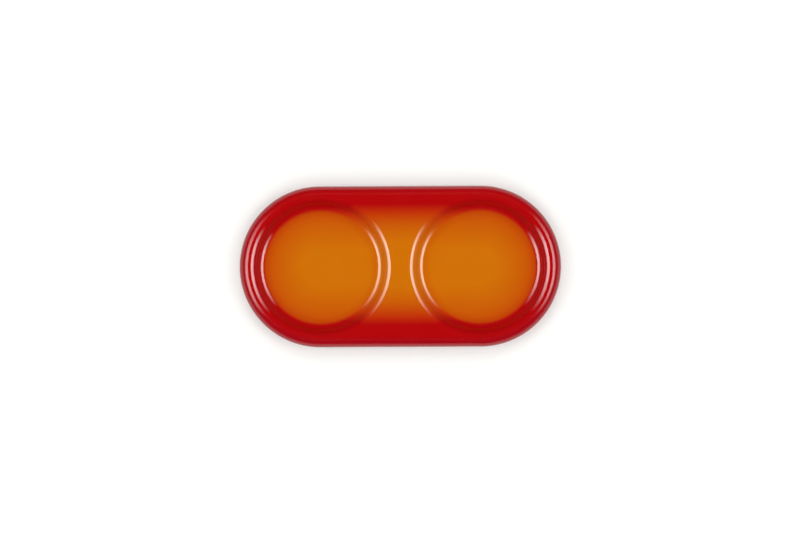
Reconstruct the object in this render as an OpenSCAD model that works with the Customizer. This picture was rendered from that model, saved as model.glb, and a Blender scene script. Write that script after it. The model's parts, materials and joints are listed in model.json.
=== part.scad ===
// Tray for a pair of table mills: a stadium-shaped slab of stoneware with two round wells,
// glazed red over the rim and amber in the wells, standing on a bare foot ring.
// Millimetres, +Z up, origin on the table under the middle of the tray.

/* [Wells] */
// Diameter of the flat floor that a mill stands on
well_floor_d = 62.7; // [56:0.1:64]
// Distance between the centres of the two wells
well_spacing = 87.9; // [84:0.1:110]
// Depth of a well below the rim
well_depth = 4.5; // [4.3:0.1:6]
// Radius of the rounded lip at the top of a well's wall
lip_round = 4.7; // [3.5:0.1:5.2]
// Radius of the hollow at the foot of a well's wall
cove_round = 4.2; // [3:0.1:4.7]
// Steepest angle of the wall, in degrees
wall_slope = 58; // [50:1:60]

/* [Rim] */
// Height of the tray, from the table to the rim
tray_height = 16; // [14.5:0.5:20]
// Radius at which the crest turns over
crest_round = 3.2; // [2.4:0.1:4.5]
// Radius of the outer edge that it runs into
rim_round = 6.6; // [5:0.1:7.4]
// Slope at which the one runs into the other, in degrees
rim_turn = 40; // [30:1:50]
// Flat left on the crest between the outer edge and a well
rim_flat = 1.1; // [0.4:0.1:2.5]
// How much wider that flat is at the two ends of the tray
end_extra = 0.45; // [0:0.05:2]
// Angle at which the outer wall leans in towards the foot, in degrees
wall_draft = 7; // [3:1:10]
// Radius where the outer wall turns under
heel_round = 4; // [3:0.1:4.4]

/* [Foot] */
// Distance from the tray's edge in to the foot ring
foot_inset = 6.5; // [6.2:0.1:9]
// Width of the foot ring
foot_width = 4.5; // [3.5:0.1:6]
// Size of the bevel on the edges of its ground face
foot_bevel = 0.4; // [0.2:0.1:0.5]
// Height of the ledge outside the foot ring
ledge_height = 2; // [1.6:0.1:2.4]
// Depth of the recess inside the foot ring
recess_depth = 3; // [2.4:0.1:3.6]
// Radius where the foot ring meets the ledge
toe_round = 1.2; // [0.8:0.1:1.3]
// Radius where the foot ring meets the recess
recess_round = 2; // [1:0.1:2.2]

/* [Glaze] */
// Thickness of the fired glaze
glaze_thick = 0.4; // [0.3:0.05:0.6]
// Height above the table at which the glaze stops on the foot ring
glaze_line = 0.9; // [0.6:0.1:1.1]
// How far the amber reaches up a well's wall, past its floor
amber_climb = 0.3; // [0.2:0.1:1.5]
// Width of the amber band across the bridge between the wells
amber_band = 55; // [40:1:58]

/* [Hidden] */
$fn = 96;

// The well's wall is a hollow arc, a straight and a full arc, each running smoothly into the next
wall_rounds = lip_round + cove_round;
wall_straight = (well_depth - wall_rounds * (1 - cos(wall_slope))) / sin(wall_slope);

floor_r = well_floor_d / 2;
mouth_r = floor_r + wall_rounds * sin(wall_slope) + wall_straight * cos(wall_slope);
floor_z = tray_height - well_depth;
rim_swing = rim_round - crest_round;
rim_run = rim_round - rim_swing * sin(rim_turn);
end_r = mouth_r + rim_flat + rim_run;
end_x = well_spacing / 2 + end_extra;

// Centres of the arcs in the tray's cross-section, as distance from its middle line and height
crest_centre = [end_r - rim_run, tray_height - crest_round];
rim_centre = [end_r - rim_round, crest_centre.y - rim_swing * cos(rim_turn)];
heel_z = ledge_height + heel_round;
lean_run = (rim_centre.y - heel_z - (rim_round - heel_round) * sin(wall_draft)) * tan(wall_draft);
heel_centre = [rim_centre.x + (rim_round - heel_round) * cos(wall_draft) - lean_run, heel_z];
foot_out = end_r - foot_inset;
foot_in = foot_out - foot_width;
toe_centre = [foot_out + toe_round, ledge_height - toe_round];
recess_centre = [foot_in - recess_round, recess_depth - recess_round];

amber_r = floor_r + amber_climb;
foot_mid = (foot_in + foot_out) / 2;

// Slice of a disc between two angles, less than half a turn apart
module slice(centre, radius, start, end) {
  reach = 2 * radius;
  intersection() {
    translate(centre) circle(radius);
    polygon([centre, centre + reach * [cos(start), sin(start)], centre + reach * [cos(end), sin(end)]]);
  }
}

// Half of the tray's cross-section without its wells, with its glazed faces taken in by inset.
// The ground face of the foot stays on the table.
module tray_section(inset = 0) {
  turn = [sin(rim_turn), cos(rim_turn)];
  lean = [cos(wall_draft), -sin(wall_draft)];
  difference() {
    union() {
      polygon([
        [0, tray_height - inset],
        [crest_centre.x, tray_height - inset],
        crest_centre + (crest_round - inset) * turn,
        rim_centre + (rim_round - inset) * lean,
        heel_centre + (heel_round - inset) * lean,
        [heel_centre.x, ledge_height + inset],
        [toe_centre.x, ledge_height + inset],
        [foot_out - inset, toe_centre.y],
        [foot_out - inset, foot_bevel],
        [foot_out - inset - foot_bevel, 0],
        [foot_in + inset + foot_bevel, 0],
        [foot_in + inset, foot_bevel],
        [foot_in + inset, recess_centre.y],
        [recess_centre.x, recess_depth + inset],
        [0, recess_depth + inset]
      ]);
      slice(crest_centre, crest_round - inset, 90, 90 - rim_turn);
      slice(rim_centre, rim_round - inset, 90 - rim_turn, -wall_draft);
      translate(heel_centre) circle(heel_round - inset);
    }
    translate(toe_centre) circle(toe_round + inset);
    translate(recess_centre) circle(recess_round + inset);
  }
}

// Half of a well's cross-section, open upwards, with its faces sunk into the clay by inset
module well_section(inset = 0) {
  cove_centre = [floor_r, floor_z + cove_round];
  lip_centre = [mouth_r, tray_height - lip_round];
  lean = [sin(wall_slope), -cos(wall_slope)];
  top = tray_height + wall_rounds;
  difference() {
    union() {
      polygon([
        [0, floor_z - inset],
        [floor_r, floor_z - inset],
        cove_centre + (cove_round + inset) * lean,
        lip_centre - (lip_round - inset) * lean,
        [mouth_r, tray_height - inset],
        [mouth_r, top],
        [0, top]
      ]);
      translate(cove_centre) circle(cove_round + inset);
    }
    translate(lip_centre) circle(lip_round - inset);
  }
}

module at_wells() {
  for (side = [-1, 1]) translate([side * well_spacing / 2, 0, 0]) children();
}

// Carries a half section round the stadium: half a turn at each end, straight between them
module stadium_sweep() {
  for (side = [-1, 1])
    translate([side * end_x, 0, 0]) rotate(-90 * side) rotate_extrude(angle = 180) children();
  for (side = [0, 1])
    mirror([0, side, 0]) rotate([90, 0, 90]) linear_extrude(2 * end_x, center = true) children();
}

// The whole tray, with its glazed faces taken in by inset
module tray_form(inset = 0) {
  difference() {
    stadium_sweep() tray_section(inset);
    at_wells() rotate_extrude() well_section(inset);
  }
}

// The even coat of glaze over the top, the rim and the outer wall, down to the line on the foot
module outer_coat() {
  difference() {
    tray_form();
    tray_form(glaze_thick);
    stadium_sweep() union() {
      square([foot_mid, ledge_height + heel_round]);
      square([end_r, glaze_line]);
    }
  }
}

// Ground plan of the amber: both well floors and the bridge between them
module amber_plan() {
  at_wells() circle(amber_r);
  square([well_spacing, amber_band], center = true);
}

module amber_zone() {
  translate([0, 0, floor_z - wall_rounds]) linear_extrude(well_depth + 2 * wall_rounds) amber_plan();
}

module stoneware_body() {
  color("antiquewhite") tray_form(glaze_thick);
}

module red_rim_glaze() {
  color("firebrick") difference() {
    outer_coat();
    amber_zone();
  }
}

module amber_well_glaze() {
  color("darkorange") intersection() {
    outer_coat();
    amber_zone();
  }
}

// The coat inside the foot ring, cut off from the outer one by the bare foot
module base_glaze() {
  color("firebrick") stadium_sweep() intersection() {
    difference() {
      tray_section();
      tray_section(glaze_thick);
    }
    translate([0, glaze_line]) square([foot_mid, recess_depth]);
  }
}

stoneware_body();
red_rim_glaze();
amber_well_glaze();
base_glaze();
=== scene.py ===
"""Looks of the glazed mill tray: its coats of glaze, its bare foot and a plain white studio."""

import json
import math

import bmesh
import bpy
from mathutils import Matrix, Vector, noise


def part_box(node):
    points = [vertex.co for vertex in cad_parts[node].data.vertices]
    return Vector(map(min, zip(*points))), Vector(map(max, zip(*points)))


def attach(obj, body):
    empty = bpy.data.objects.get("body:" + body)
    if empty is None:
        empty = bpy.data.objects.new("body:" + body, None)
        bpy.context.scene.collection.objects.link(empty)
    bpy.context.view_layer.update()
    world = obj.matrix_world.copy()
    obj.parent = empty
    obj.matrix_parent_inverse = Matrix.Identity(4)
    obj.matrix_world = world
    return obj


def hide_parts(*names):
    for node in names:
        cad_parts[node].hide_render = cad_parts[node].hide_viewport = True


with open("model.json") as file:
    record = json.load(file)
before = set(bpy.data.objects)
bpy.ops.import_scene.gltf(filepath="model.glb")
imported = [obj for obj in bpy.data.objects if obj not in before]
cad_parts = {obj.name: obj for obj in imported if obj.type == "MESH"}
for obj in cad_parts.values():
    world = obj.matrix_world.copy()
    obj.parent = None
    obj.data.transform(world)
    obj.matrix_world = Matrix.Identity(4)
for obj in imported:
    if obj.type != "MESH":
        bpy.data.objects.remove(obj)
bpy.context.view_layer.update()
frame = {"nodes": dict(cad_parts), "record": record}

MM = 0.001
WHITE = (1, 1, 1, 1)

# Left and right, or front and back
BOTH_SIDES = (-1, 1)

# Sizes that the frame states
COAT_LOW, COAT_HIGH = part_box("red_rim_glaze")
BODY_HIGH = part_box("stoneware_body")[1]
MOUNTS = {mount["name"]: Vector(mount["pos_m"]) for mount in frame["record"]["mounts"]}
WELL_X = MOUNTS["right_well_floor"].x
FLOOR_Z = MOUNTS["right_well_floor"].z
TRAY_HEIGHT = COAT_HIGH.z
END_R = COAT_HIGH.y
END_X = COAT_HIGH.x - END_R
GLAZE_LINE = COAT_LOW.z
GLAZE_THICK = COAT_HIGH.z - BODY_HIGH.z

# Section of a well: radii of its floor, of its lip and of the hollow at the foot of its wall,
# and the wall's steepest angle in degrees
FLOOR_R = 31.35 * MM
LIP_ROUND = 4.7 * MM
COVE_ROUND = 4.2 * MM
WALL_SLOPE = 58
WALL_ANGLE = math.radians(WALL_SLOPE)
WALL_ROUNDS = LIP_ROUND + COVE_ROUND
WALL_STRAIGHT = (TRAY_HEIGHT - FLOOR_Z - WALL_ROUNDS * (1 - math.cos(WALL_ANGLE))) / math.sin(WALL_ANGLE)
MOUTH_R = FLOOR_R + WALL_ROUNDS * math.sin(WALL_ANGLE) + WALL_STRAIGHT * math.cos(WALL_ANGLE)

# Section of the rim: radii of the clay's crest, of the melted glaze over it and of the outer edge,
# and the slope in degrees at which the crest runs into that edge
CREST_ROUND = 3.2 * MM
MELTED_CREST = 4.4 * MM
RIM_ROUND = 6.6 * MM
RIM_TURN = 40
TURN_ANGLE = math.radians(RIM_TURN)

# Outer wall, which leans in by a few degrees, its heel, the foot ring and the recess inside it
WALL_DRAFT = 7
DRAFT_ANGLE = math.radians(WALL_DRAFT)
HEEL_ROUND = 4.0 * MM
LEDGE_HEIGHT = 2.0 * MM
TOE_ROUND = 1.2 * MM
FOOT_INSET = 6.5 * MM
FOOT_WIDTH = 4.5 * MM
FOOT_OUT = END_R - FOOT_INSET
FOOT_IN = FOOT_OUT - FOOT_WIDTH
RECESS_DEPTH = 3.0 * MM
RECESS_ROUND = 2.0 * MM

# Unevenness of the fired glaze: a slow ripple with a finer one on it, and drips where it ends.
# The ripple is let in by its crest, so that it never stands proud of the solid.
RIPPLE_DEPTH = 0.02 * MM
RIPPLE_LENGTH = 16 * MM
FINE_RIPPLE_SHARE = 0.4
FINE_RIPPLE_RATE = 2.7
RIPPLE_CREST = 1 + FINE_RIPPLE_SHARE
DRIP_DEPTH = 0.15 * MM
DRIP_LENGTH = 9 * MM

# Fineness of the meshes
END_STEPS = 112
BRIDGE_STEPS = 48
FLAT_STEPS = 20
ARC_STEPS = 16
RIM_STEPS = 2 * ARC_STEPS
TOE_STEPS = ARC_STEPS // 2
WALL_STEPS = 6
GLAZE_END_STEPS = 6
WELD = 0.002 * MM
SLIVER = 0.001 * MM

# Glaze and clay tones, as display colours
AMBER = (212, 115, 5)
BURNT_ORANGE = (206, 95, 5)
VERMILION = (198, 58, 6)
SCARLET = (190, 37, 8)
RED = (182, 6, 9)
# Crimson is painted shade on the rim's outer shoulder, with a faint painted bluish reflection in it
SHADED_CRIMSON = (168, 6, 20)
CREAM_CLAY = (222, 205, 178)
IRON_SPECK = (120, 84, 52)

# Where one glaze tone gives way to the next, measured out from the tray's long middle line.
# On the rim and the bridge the red spray lies heavier than down on the floors.
FULL_VERMILION = 27.7 * MM
FULL_RED = 33.2 * MM
DECK_FADE = (
    (12 * MM, AMBER),
    (20.5 * MM, BURNT_ORANGE),
    (FULL_VERMILION, VERMILION),
    (30.4 * MM, SCARLET),
    (FULL_RED, RED),
    (39.5 * MM, RED),
    # Toward the rim's outer shoulder the red turns to painted shade with a faint painted bluish
    # reflection
    (42.5 * MM, SHADED_CRIMSON),
)
FLOOR_FADE = (
    (10 * MM, AMBER),
    (24 * MM, BURNT_ORANGE),
    (36 * MM, VERMILION),
)

# How far the spray on the deck and the edge of the floors sit behind the tray's middle line,
# how much further in the red reaches on a well's wall, and the painted shade that darkens the wall
DECK_OFFSET = 1.2 * MM
FLOOR_OFFSET = -0.35 * MM
WALL_SPRAY = 1.8 * MM
# Tint of the painted shade on the steep part of the wells' walls
WALL_SHADE_TINT = (0.87, 0.8, 0.8, 1)

# From where to where a well's floor gives way to its wall, and where the floor turns darker towards its
# edge
FLOOR_EDGE = (FLOOR_R - 1.2 * MM, FLOOR_R + 0.9 * MM)
FLOOR_DARKENING = (FLOOR_R - 5 * MM, FLOOR_R)
FLOOR_DARKENING_TINT = (0.94, 0.8, 0.95, 1)

# Shine and softness of the gloss in the wells, on the rim and underneath
WELL_SHINE = 0.5
WELL_SOFTNESS = 0
RIM_SHINE = 0.34
RIM_SOFTNESS = 0.06
BASE_SHINE = 0.5
BASE_SOFTNESS = 0.05

# Skin of the fired glaze: its roughness from patch to patch, its peel, and how many grains of the peel
# a patch is wide
GLAZE_IOR = 1.5
GLAZE_ROUGHNESS = (0.04, 0.07)
PEEL_GRAIN = 2.5 * MM
PEEL_DEPTH = 0.008 * MM
PEEL_STRENGTH = 0.4
PEEL_DETAIL = 2
PATCH_WIDTH = 5
PATCH_DETAIL = 1

# Iron specks in the clay: their spacing, the largest one's radius as a share of it, the dark core
# as a share of the radius, and the power that makes large ones rare
SPECK_SPACING = 1.1 * MM
SPECK_RADIUS = 0.6
SPECK_CORE = 0.5
SPECK_RARITY = 4

# Sandy face of the bare clay
SAND_GRAIN = 0.35 * MM
SAND_DEPTH = 0.06 * MM
SAND_STRENGTH = 0.5
SAND_DETAIL = 3
CLAY_ROUGHNESS = (0.7, 0.9)

# Grain and strength of each finish's drift in colour, and the values that soft noise keeps to
GLAZE_DRIFT = (14 * MM, 0.06)
BASE_DRIFT = (9 * MM, 0.2)
CLAY_DRIFT = (4 * MM, 0.25)
PAPER_DRIFT = (40 * MM, 0.02)
DRIFT_DETAIL = 3
CLOUD_RANGE = (0.3, 0.7)
CLOUD_MIDDLE = 0.5

# Camera straight above, which shows the tray as long as it is in the picture, in pixels
PICTURE_WIDTH = 800
TRAY_LENGTH_PX = 321.6
CAMERA_HEIGHT = 1.6
CAMERA_ROLL = -0.27
CAMERA_ASIDE = -0.2 * MM
SENSOR = 36

# Four lamps round the camera, at a distance and a rise in degrees
KEY_LAMPS = {
    "left key lamp": (-1, 0, 0),
    "right key lamp": (1, 0, 0),
    "front key lamp": (0, -1, 0),
    "back key lamp": (0, 1, 0),
}
KEY_AWAY = 1.92
KEY_RISE = 64.5
KEY_LONG = 0.68
KEY_TALL = 0.8
KEY_RADIANCE = 3.2

# Paper on the studio floor, and how far out its own glow comes up to white
PAPER_HALF = 4.0
PAPER_CORNERS = ((-1, -1), (1, -1), (1, 1), (-1, 1))
PAPER_TONE = (0.85, 0.885, 0.862, 1)
PAPER_GLOW = (0.2, 1)
PAPER_FAR = (0.12, 0.8)

# White tent that lights the tray, and the dim room that its gloss mirrors, paler low at the sides
TENT_TONE = (0.6, 0.6, 0.6, 1)
ROOM_DARK = 0.025
ROOM_TINT = (0.72, 0.76, 1, 1)
SIDE_FILL = 0.25
SIDE_FILL_HEIGHT = 0.75

# The two lamps in that room: the side each is on, the slopes to the front and to the back between which
# it fades, and the rise in degrees over which its foot fades
MIRRORED_LAMPS = (
    (-1, (-0.82, -0.26), (-0.02, 0.98), (32, 52)),
    (1, (-0.8, -0.2), (0.1, 0.99), (35, 55)),
)
LAMP_HEAD = (76, 80)
LAMP_RADIANCE = 10.5

# Least part of a reflection's way to the side that its slope is worked out from
LEAST_ACROSS = 0.001

# Kinds of socket on a node group
VECTOR = "NodeSocketVector"
COLOUR = "NodeSocketColor"
NUMBER = "NodeSocketFloat"


def arc(centre, radius, start, end, steps=ARC_STEPS):
    """Points of an arc in the section plane, angles in degrees."""
    turns = [math.radians(start + (end - start) * i / steps) for i in range(steps + 1)]
    return [(centre[0] + radius * math.cos(t), centre[1] + radius * math.sin(t)) for t in turns]


def between(start, end, steps):
    """Points strictly between two section points."""
    shares = [i / steps for i in range(1, steps)]
    return [tuple(a + (b - a) * s for a, b in zip(start, end)) for s in shares]


def glazed(points):
    """Those of the section points that lie above the end of the glaze."""
    return [point for point in points if point[1] > GLAZE_LINE]


def well_section(inset):
    """A well, from the middle of its floor to the crest of its lip, sunk into the clay by inset."""
    cove = arc((FLOOR_R, FLOOR_Z + COVE_ROUND), COVE_ROUND + inset, -90, WALL_SLOPE - 90)
    lip = arc((MOUTH_R, TRAY_HEIGHT - LIP_ROUND), LIP_ROUND - inset, 90 + WALL_SLOPE, 90)
    middle = (0, FLOOR_Z - inset)
    return [middle] + between(middle, cove[0], FLAT_STEPS) + cove + lip


def edge_form(inset):
    """Radius of the crest, where it starts to turn over, and height of the rim's widest place.
    Glaze thins as it melts over an edge, so its outer face is rounder there than the clay under it."""
    crest_round = CREST_ROUND if inset else MELTED_CREST
    swing = RIM_ROUND - crest_round
    crest_u = END_R - RIM_ROUND + swing * math.sin(TURN_ANGLE)
    rim_z = TRAY_HEIGHT - crest_round - swing * math.cos(TURN_ANGLE)
    return crest_round, crest_u, rim_z


def rim_section(inset):
    """The outer edge, from the crest over the rim and the heel to the end of the glaze on the foot."""
    crest_round, crest_u, rim_z = edge_form(inset)
    rim_u = END_R - RIM_ROUND
    heel_z = LEDGE_HEIGHT + HEEL_ROUND
    drop = rim_z - heel_z - (RIM_ROUND - HEEL_ROUND) * math.sin(DRAFT_ANGLE)
    heel_u = rim_u + (RIM_ROUND - HEEL_ROUND) * math.cos(DRAFT_ANGLE) - drop * math.tan(DRAFT_ANGLE)
    crest = arc((crest_u, TRAY_HEIGHT - crest_round), crest_round - inset, 90, 90 - RIM_TURN)
    rim = arc((rim_u, rim_z), RIM_ROUND - inset, 90 - RIM_TURN, -WALL_DRAFT, RIM_STEPS)
    heel = arc((heel_u, heel_z), HEEL_ROUND - inset, -WALL_DRAFT, -90)
    toe = arc((FOOT_OUT + TOE_ROUND, LEDGE_HEIGHT - TOE_ROUND), TOE_ROUND + inset, 90, 180, TOE_STEPS)
    wall = crest + rim[1:] + between(rim[-1], heel[0], WALL_STEPS) + heel
    return wall + glazed(toe) + [(FOOT_OUT - inset, GLAZE_LINE)]


def recess_section(inset):
    """The hollow underneath, from its middle to the end of the glaze on the inside of the foot ring."""
    cove = glazed(arc((FOOT_IN - RECESS_ROUND, RECESS_DEPTH - RECESS_ROUND), RECESS_ROUND + inset, 90, 0))
    middle = (0, RECESS_DEPTH + inset)
    return [middle] + between(middle, cove[0], FLAT_STEPS) + cove + [(FOOT_IN + inset, GLAZE_LINE)]


def coat_section(section):
    """A coat's two faces joined by a rounded edge where the glaze ends."""
    shown = section(0)
    buried = section(GLAZE_THICK)
    middle = (shown[-1][0] + buried[-1][0]) / 2
    reach = shown[-1][0] - middle
    bead = arc((0, GLAZE_LINE), abs(reach), 0, -180, GLAZE_END_STEPS)
    edge = [(middle + reach * u / abs(reach), z) for u, z in bead]
    return shown + edge[1:-1] + buried[::-1]


def turned(section, centre_x, side, angle):
    """A section turned about an upright axis; angle 0 points away from the other end of the tray."""
    return [Vector((side * (centre_x + u * math.cos(angle)), u * math.sin(angle), z)) for u, z in section]


def round_from_front(half_turns):
    """Angles of the stations round an end or a well, from its front on."""
    return [math.pi * (i / END_STEPS - 0.5) for i in range(half_turns * END_STEPS + 1)]


def along():
    """Stations along the straight of the tray, from -1 to 1."""
    return [2 * i / BRIDGE_STEPS - 1 for i in range(BRIDGE_STEPS + 1)]


def stadium_sweep(section):
    """Carries a section round the tray: half a turn at each end, straight between them."""
    grids = []
    for side in BOTH_SIDES:
        grids.append([turned(section, END_X, side, angle) for angle in round_from_front(1)])
    for side in BOTH_SIDES:
        grids.append([[Vector((END_X * s, side * u, z)) for u, z in section] for s in along()])
    return grids


def well_patch(side, inset):
    """A well from its middle to its lip, all the way round."""
    section = well_section(inset)
    return [turned(section, WELL_X, side, angle) for angle in round_from_front(2)]


def bridge_patch(inset):
    """The flat deck between the mouths of the two wells, in rows from left to right."""
    height = TRAY_HEIGHT - inset
    rows = []
    for angle in round_from_front(1):
        reach = WELL_X - MOUTH_R * math.cos(angle)
        rows.append([Vector((reach * s, MOUTH_R * math.sin(angle), height)) for s in along()])
    return rows


def crest_patches(inset):
    """The narrow flat on the crest, between the lips of the wells and the rounding of the rim."""
    height = TRAY_HEIGHT - inset
    crest_u = edge_form(inset)[1]
    lip = [(MOUTH_R, height)]
    rim = [(crest_u, height)]
    patches = []
    for side in BOTH_SIDES:
        ends = [turned(lip, WELL_X, side, a) + turned(rim, END_X, side, a) for a in round_from_front(1)]
        inner = [Vector((WELL_X * s, side * MOUTH_R, height)) for s in along()]
        outer = [Vector((END_X * s, side * crest_u, height)) for s in along()]
        patches += [ends, list(zip(inner, outer))]
    return patches


def new_object(name, data):
    """An object that stands in the scene."""
    thing = bpy.data.objects.new(name, data)
    bpy.context.scene.collection.objects.link(thing)
    return thing


def add_grid(bm, grid, finish):
    """Faces over a grid of points, with the number of their material."""
    rows = [[bm.verts.new(point) for point in row] for row in grid]
    for row, following in zip(rows, rows[1:]):
        for i in range(len(row) - 1):
            face = bm.faces.new((row[i], row[i + 1], following[i + 1], following[i]))
            face.material_index = finish


def coat_piece(name, *finishes):
    """One closed, smooth shell of glaze, welded from the grids of points of each of its finishes."""
    bm = bmesh.new()
    for finish, grids in enumerate(finishes):
        for grid in grids:
            add_grid(bm, grid, finish)
    bmesh.ops.remove_doubles(bm, verts=bm.verts, dist=WELD)
    bmesh.ops.dissolve_degenerate(bm, edges=bm.edges, dist=SLIVER)
    bmesh.ops.recalc_face_normals(bm, faces=bm.faces)
    for face in bm.faces:
        face.smooth = True
    mesh = bpy.data.meshes.new(name)
    bm.to_mesh(mesh)
    bm.free()
    piece = new_object(name, mesh)
    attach(piece, "root")
    return piece


def settle_glaze(piece):
    """Lets a coat rise and fall a little as it melts, and its edge on the foot run unevenly."""
    normals = [normal.vector.copy() for normal in piece.data.vertex_normals]
    for vertex, normal in zip(piece.data.vertices, normals):
        at = vertex.co.copy()
        share = min(1, max(0, (LEDGE_HEIGHT - at.z) / (LEDGE_HEIGHT - GLAZE_LINE)))
        fine = FINE_RIPPLE_SHARE * noise.noise(at / RIPPLE_LENGTH * FINE_RIPPLE_RATE)
        wave = noise.noise(at / RIPPLE_LENGTH) + fine
        vertex.co += normal * (wave - RIPPLE_CREST) * RIPPLE_DEPTH * (1 - share)
        vertex.co.z += noise.noise(at / DRIP_LENGTH) * DRIP_DEPTH * share
    piece.data.update()


def outer_coat():
    """The glaze over the wells, the bridge, the rim and the outer wall."""
    rim_grids = stadium_sweep(coat_section(rim_section))
    well_grids = []
    for inset in (0, GLAZE_THICK):
        well_grids += crest_patches(inset)
        well_grids += [well_patch(side, inset) for side in BOTH_SIDES]
        well_grids.append(bridge_patch(inset))
    piece = coat_piece("outer_coat", well_grids, rim_grids)
    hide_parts("red_rim_glaze", "amber_well_glaze")
    settle_glaze(piece)
    piece.data.materials.append(sprayed_glaze("well glaze", WELL_SHINE, WELL_SOFTNESS))
    piece.data.materials.append(sprayed_glaze("rim glaze", RIM_SHINE, RIM_SOFTNESS))


def base_coat():
    """The glaze in the hollow underneath."""
    piece = coat_piece("base_coat", stadium_sweep(coat_section(recess_section)))
    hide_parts("base_glaze")
    settle_glaze(piece)
    piece.data.materials.append(base_red_glaze())


def bare_foot():
    """Dresses the clay, which shows only on the foot ring."""
    slots = frame["nodes"]["stoneware_body"].data.materials
    slots.clear()
    slots.append(bare_stoneware())


def display(tone):
    """A display colour, 0 to 255, as a shader's linear colour, by the usual curve for displays."""
    shares = [value / 255 for value in tone]
    return [s / 12.92 if s <= 0.04045 else ((s + 0.055) / 1.055) ** 2.4 for s in shares] + [1]


def add_node(tree, kind, inputs, **settings):
    """A node with its settings made and its inputs set or linked."""
    node = tree.nodes.new(kind)
    for name, value in settings.items():
        setattr(node, name, value)
    for name, value in inputs.items():
        if isinstance(value, bpy.types.NodeSocket):
            tree.links.new(value, node.inputs[name])
        else:
            node.inputs[name].default_value = value
    return node


def calc(tree, operation, *terms):
    """The result of a sum on links and numbers."""
    return add_node(tree, "ShaderNodeMath", dict(enumerate(terms)), operation=operation).outputs["Value"]


def spread(tree, value, source, target):
    """Carries a value smoothly from one range to another."""
    ranges = {"From Min": source[0], "From Max": source[1], "To Min": target[0], "To Max": target[1]}
    inputs = {"Value": value, **ranges}
    return add_node(tree, "ShaderNodeMapRange", inputs, interpolation_type="SMOOTHSTEP").outputs["Result"]


def blend(tree, share, under, over, way="MIX"):
    """One colour laid over another by share; the mix node keeps its colours in sockets 6 and 7."""
    inputs = {0: share, 6: under, 7: over}
    return add_node(tree, "ShaderNodeMix", inputs, data_type="RGBA", blend_type=way).outputs[2]


def cloud(tree, place, grain, detail):
    """Soft noise whose patches are about grain across."""
    inputs = {"Vector": place, "Scale": calc(tree, "DIVIDE", 1, grain), "Detail": detail}
    return add_node(tree, "ShaderNodeTexNoise", inputs).outputs["Fac"]


def reach_of(tree, *legs):
    """Length of a step in the ground plan, from its two legs."""
    squares = [calc(tree, "MULTIPLY", leg, leg) for leg in legs]
    return calc(tree, "SQRT", calc(tree, "ADD", *squares))


def fade(tree, distance, stops):
    """Glaze tones along a distance from the tray's middle line."""
    node = add_node(tree, "ShaderNodeValToRGB", {"Fac": calc(tree, "DIVIDE", distance, END_R)})
    tones = node.color_ramp.elements
    tones.remove(tones[1])
    tones[0].position = stops[0][0] / END_R
    tones[0].color = display(stops[0][1])
    for reach, tone in stops[1:]:
        tones.new(reach / END_R).color = display(tone)
    return node.outputs["Color"]


def new_group(name, inputs, outputs):
    """An empty node group with its sockets, and its inner ends."""
    group = bpy.data.node_groups.new(name, "ShaderNodeTree")
    for label, kind in inputs.items():
        group.interface.new_socket(label, in_out="INPUT", socket_type=kind)
    for label, kind in outputs.items():
        group.interface.new_socket(label, in_out="OUTPUT", socket_type=kind)
    start = group.nodes.new("NodeGroupInput").outputs
    end = group.nodes.new("NodeGroupOutput").inputs
    return group, start, end


def use_group(tree, name, inputs):
    """What a shared group puts out, placed in a tree with values of its own."""
    return add_node(tree, "ShaderNodeGroup", inputs, node_tree=bpy.data.node_groups[name]).outputs


def colour_drift_group():
    """Lightens and darkens a colour in soft patches."""
    inputs = {"Place": VECTOR, "Colour": COLOUR, "Grain": NUMBER, "Strength": NUMBER}
    group, start, end = new_group("colour drift", inputs, {"Colour": COLOUR})
    patches = cloud(group, start["Place"], start["Grain"], DRIFT_DETAIL)
    offset = calc(group, "SUBTRACT", patches, CLOUD_MIDDLE)
    swing = calc(group, "MULTIPLY_ADD", offset, start["Strength"], 1)
    terms = {0: start["Colour"], "Scale": swing}
    drifted = add_node(group, "ShaderNodeVectorMath", terms, operation="SCALE").outputs["Vector"]
    group.links.new(drifted, end["Colour"])


def glaze_skin_group():
    """The faint peel of a fired glaze, and its patches of higher and lower gloss."""
    inputs = {"Place": VECTOR, "Grain": NUMBER, "Smooth": NUMBER, "Rough": NUMBER}
    group, start, end = new_group("glaze skin", inputs, {"Height": NUMBER, "Roughness": NUMBER})
    peel = cloud(group, start["Place"], start["Grain"], PEEL_DETAIL)
    patch_grain = calc(group, "MULTIPLY", start["Grain"], PATCH_WIDTH)
    patches = cloud(group, start["Place"], patch_grain, PATCH_DETAIL)
    roughness = spread(group, patches, CLOUD_RANGE, (start["Smooth"], start["Rough"]))
    group.links.new(peel, end["Height"])
    group.links.new(roughness, end["Roughness"])


def floor_tones(tree, from_well, reach):
    """Amber of a well's floor, darker towards the floor's edge."""
    toward_edge = spread(tree, from_well, FLOOR_DARKENING, (0, 1))
    return blend(tree, toward_edge, fade(tree, reach, FLOOR_FADE), FLOOR_DARKENING_TINT, "MULTIPLY")


def deck_tones(tree, from_well, reach):
    """Tones of the bridge, the rim and the wells' walls, where the red reaches further and is darker; the
    darkening on the walls and the crimson at the rim's outer shoulder are painted shade, the crimson with
    a faint painted bluish reflection.
    """
    steep = spread(tree, from_well, (FLOOR_R + COVE_ROUND, MOUTH_R), (1, 0))
    deck_reach = calc(tree, "MULTIPLY_ADD", steep, WALL_SPRAY, reach)
    reddened = spread(tree, deck_reach, (FULL_VERMILION, FULL_RED), (0, 1))
    risen = spread(tree, from_well, (FLOOR_R, FLOOR_R + COVE_ROUND), (0, 1))
    # Painted shade on the steep part of each well's wall
    wall_shade = calc(tree, "MULTIPLY", steep, calc(tree, "MULTIPLY", reddened, risen))
    return blend(tree, wall_shade, fade(tree, deck_reach, DECK_FADE), WALL_SHADE_TINT, "MULTIPLY")


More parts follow.
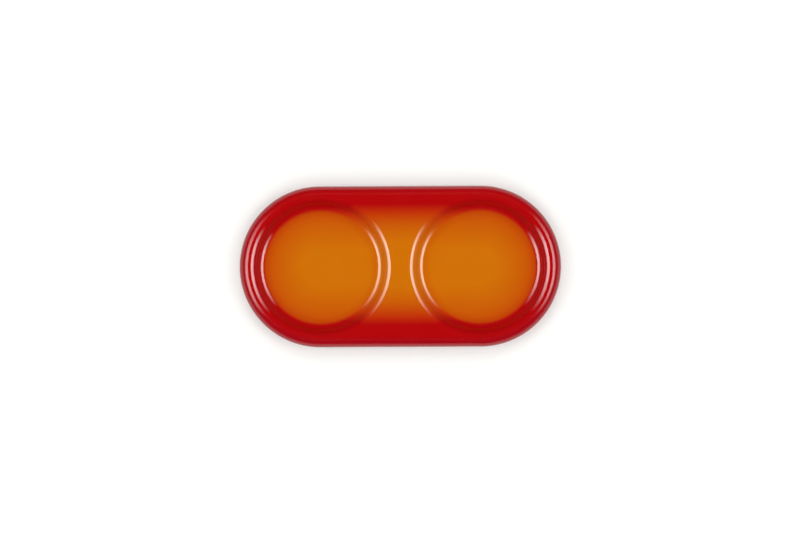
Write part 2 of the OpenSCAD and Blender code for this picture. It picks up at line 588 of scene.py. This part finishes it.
def sprayed_fade_and_shade_group():
    """Red on the rim and amber in the middle, sprayed so that they run into each other, with painted
    shade on the wells' walls and on the rim's outer shoulder.
    """
    group, start, end = new_group("sprayed fade and painted shade", {"Place": VECTOR}, {"Colour": COLOUR})
    split = add_node(group, "ShaderNodeSeparateXYZ", {"Vector": start["Place"]}).outputs
    past_well = calc(group, "SUBTRACT", calc(group, "ABSOLUTE", split["X"]), WELL_X)
    past_straight = calc(group, "MAXIMUM", past_well, 0)
    floor_y = calc(group, "SUBTRACT", split["Y"], FLOOR_OFFSET)
    deck_y = calc(group, "SUBTRACT", split["Y"], DECK_OFFSET)
    from_well = reach_of(group, past_well, floor_y)
    floor_tone = floor_tones(group, from_well, reach_of(group, past_straight, floor_y))
    deck_tone = deck_tones(group, from_well, reach_of(group, past_straight, deck_y))
    raised = spread(group, from_well, FLOOR_EDGE, (0, 1))
    group.links.new(blend(group, raised, floor_tone, deck_tone), end["Colour"])


def new_material(name):
    """A material, its node tree, its shader and its place on the tray."""
    material = bpy.data.materials.new(name)
    material.use_nodes = True
    tree = material.node_tree
    place = tree.nodes.new("ShaderNodeTexCoord").outputs["Object"]
    return material, tree, tree.nodes["Principled BSDF"], place


def drifting(tree, place, tone, drift):
    """A tone that drifts lighter and darker; drift is its grain and strength."""
    inputs = {"Place": place, "Colour": tone, "Grain": drift[0], "Strength": drift[1]}
    return use_group(tree, "colour drift", inputs)["Colour"]


def gloss_over(tree, shader, place, shine, softness):
    """Gives a glaze its fired skin and its gloss, made softer by softness."""
    smooth, rough = GLAZE_ROUGHNESS
    inputs = {"Place": place, "Grain": PEEL_GRAIN, "Smooth": smooth, "Rough": rough}
    skin = use_group(tree, "glaze skin", inputs)
    peel = {"Height": skin["Height"], "Distance": PEEL_DEPTH, "Strength": PEEL_STRENGTH}
    bump = add_node(tree, "ShaderNodeBump", peel)
    tree.links.new(bump.outputs["Normal"], shader.inputs["Normal"])
    tree.links.new(calc(tree, "ADD", skin["Roughness"], softness), shader.inputs["Roughness"])
    shader.inputs["Specular IOR Level"].default_value = shine
    shader.inputs["IOR"].default_value = GLAZE_IOR


def sprayed_glaze(name, shine, softness):
    """The red and amber glaze of the outer coat, with the gloss of one part of it."""
    material, tree, shader, place = new_material(name)
    tone = use_group(tree, "sprayed fade and painted shade", {"Place": place})["Colour"]
    tree.links.new(drifting(tree, place, tone, GLAZE_DRIFT), shader.inputs["Base Color"])
    gloss_over(tree, shader, place, shine, softness)
    return material


def base_red_glaze():
    """The plain red coat underneath."""
    material, tree, shader, place = new_material("base red glaze")
    tree.links.new(drifting(tree, place, display(RED), BASE_DRIFT), shader.inputs["Base Color"])
    gloss_over(tree, shader, place, BASE_SHINE, BASE_SOFTNESS)
    return material


def iron_specks(tree, place):
    """Where scattered round specks of uneven size lie in the clay."""
    fine = calc(tree, "DIVIDE", 1, SPECK_SPACING)
    cells = add_node(tree, "ShaderNodeTexVoronoi", {"Vector": place, "Scale": fine}).outputs
    chance = add_node(tree, "ShaderNodeSeparateColor", {"Color": cells["Color"]}).outputs["Red"]
    radius = calc(tree, "MULTIPLY", calc(tree, "POWER", chance, SPECK_RARITY), SPECK_RADIUS)
    core = calc(tree, "MULTIPLY", radius, SPECK_CORE)
    return spread(tree, cells["Distance"], (core, radius), (1, 0))


def bare_stoneware():
    """Ground clay with iron specks."""
    material, tree, shader, place = new_material("bare stoneware")
    clay = drifting(tree, place, display(CREAM_CLAY), CLAY_DRIFT)
    speckled = blend(tree, iron_specks(tree, place), clay, display(IRON_SPECK))
    tree.links.new(speckled, shader.inputs["Base Color"])
    sand = cloud(tree, place, SAND_GRAIN, SAND_DETAIL)
    grit = {"Height": sand, "Distance": SAND_DEPTH, "Strength": SAND_STRENGTH}
    bump = add_node(tree, "ShaderNodeBump", grit)
    tree.links.new(bump.outputs["Normal"], shader.inputs["Normal"])
    tree.links.new(spread(tree, sand, CLOUD_RANGE, CLAY_ROUGHNESS), shader.inputs["Roughness"])
    return material


def place_camera():
    """Looks straight down, at the picture's scale and with its slight turn."""
    data = bpy.data.cameras.new("camera")
    camera = new_object("camera", data)
    field = 2 * COAT_HIGH.x * PICTURE_WIDTH / TRAY_LENGTH_PX
    rim_z = edge_form(0)[2]
    data.sensor_width = SENSOR
    data.lens = SENSOR * CAMERA_HEIGHT / field
    camera.location = (CAMERA_ASIDE, 0, rim_z + CAMERA_HEIGHT)
    camera.rotation_euler = (0, 0, math.radians(CAMERA_ROLL))
    bpy.context.scene.camera = camera


def key_lamp(name, outward):
    """An oval lamp of even radiance that lights the tray, but that its gloss and the camera don't see."""
    area = math.pi / 4 * KEY_LONG * KEY_TALL
    data = bpy.data.lights.new(name, "AREA")
    data.shape = "ELLIPSE"
    data.size = KEY_LONG
    data.size_y = KEY_TALL
    data.energy = KEY_RADIANCE * math.pi * area
    rise = math.radians(KEY_RISE)
    back = outward * math.cos(rise) + Vector((0, 0, math.sin(rise)))
    long_way = Vector((0, 0, 1)).cross(outward)
    aim = Matrix((long_way, back.cross(long_way), back)).transposed().to_4x4()
    lamp = new_object(name, data)
    lamp.matrix_world = Matrix.Translation(back * KEY_AWAY) @ aim
    lamp.visible_camera = False
    lamp.visible_glossy = False


def studio_paper():
    """A matt pale sheet that keeps the tray's shadow, and glows to white far from it."""
    material, tree, shader, place = new_material("studio paper")
    tree.links.new(drifting(tree, place, PAPER_TONE, PAPER_DRIFT), shader.inputs["Base Color"])
    shader.inputs["Roughness"].default_value = 1
    shader.inputs["Specular IOR Level"].default_value = 0
    shader.inputs["Emission Color"].default_value = WHITE
    ray = tree.nodes.new("ShaderNodeLightPath").outputs
    mirrored = calc(tree, "MAXIMUM", ray["Is Glossy Ray"], ray["Is Transmission Ray"])
    seen = calc(tree, "MAXIMUM", ray["Is Camera Ray"], mirrored)
    reach = add_node(tree, "ShaderNodeVectorMath", {0: place}, operation="LENGTH").outputs["Value"]
    glow = calc(tree, "MULTIPLY", seen, spread(tree, reach, PAPER_FAR, PAPER_GLOW))
    tree.links.new(glow, shader.inputs["Emission Strength"])
    return material


def studio_floor():
    """A pale floor that reads white where nothing shades it."""
    mesh = bpy.data.meshes.new("studio floor")
    corners = [(x * PAPER_HALF, y * PAPER_HALF, 0) for x, y in PAPER_CORNERS]
    mesh.from_pydata(corners, [], [range(len(corners))])
    mesh.materials.append(studio_paper())
    floor = new_object("studio floor", mesh)


def rise_to_z(rises):
    """Heights on a unit sphere of rises in degrees."""
    return [math.sin(math.radians(rise)) for rise in rises]


def mirrored_lamp(tree, way, side, front, back, foot):
    """Radiance of a soft lamp to one side, by the way a reflection looks."""
    across = calc(tree, "MULTIPLY", way["X"], side)
    slope = calc(tree, "DIVIDE", way["Y"], calc(tree, "MAXIMUM", across, LEAST_ACROSS))
    from_front = spread(tree, slope, front, (0, LAMP_RADIANCE))
    to_back = spread(tree, slope, back, (1, 0))
    breadth = calc(tree, "MULTIPLY", from_front, to_back)
    from_foot = spread(tree, way["Z"], rise_to_z(foot), (0, 1))
    to_head = spread(tree, way["Z"], rise_to_z(LAMP_HEAD), (1, 0))
    height = calc(tree, "MULTIPLY", from_foot, to_head)
    shown = calc(tree, "MULTIPLY", height, calc(tree, "GREATER_THAN", across, 0))
    return calc(tree, "MULTIPLY", breadth, shown)


def studio_air():
    """A white tent that lights the tray from all round; to its gloss a dim room with two soft lamps."""
    world = bpy.data.worlds.new("studio air")
    world.use_nodes = True
    tree = world.node_tree
    place = tree.nodes.new("ShaderNodeTexCoord").outputs["Generated"]
    way = add_node(tree, "ShaderNodeSeparateXYZ", {"Vector": place}).outputs
    sideways = calc(tree, "MULTIPLY", way["X"], way["X"])
    low_fill = spread(tree, way["Z"], (0, SIDE_FILL_HEIGHT), (SIDE_FILL, 0))
    dim = calc(tree, "ADD", calc(tree, "MULTIPLY", sideways, low_fill), ROOM_DARK)
    room = blend(tree, 1, ROOM_TINT, dim, "MULTIPLY")
    lamps = calc(tree, "ADD", *[mirrored_lamp(tree, way, *lamp) for lamp in MIRRORED_LAMPS])
    mirrored = blend(tree, 1, room, lamps, "ADD")
    ray = tree.nodes.new("ShaderNodeLightPath").outputs
    seen = calc(tree, "MAXIMUM", ray["Is Camera Ray"], ray["Is Transmission Ray"])
    light = blend(tree, ray["Is Glossy Ray"], TENT_TONE, mirrored)
    tree.links.new(blend(tree, seen, light, WHITE), tree.nodes["Background"].inputs["Color"])
    bpy.context.scene.world = world


colour_drift_group()
glaze_skin_group()
sprayed_fade_and_shade_group()
outer_coat()
base_coat()
bare_foot()
place_camera()
for lamp_name, lamp_way in KEY_LAMPS.items():
    key_lamp(lamp_name, Vector(lamp_way))
studio_floor()
studio_air()
bpy.context.scene.view_settings.view_transform = "Standard"
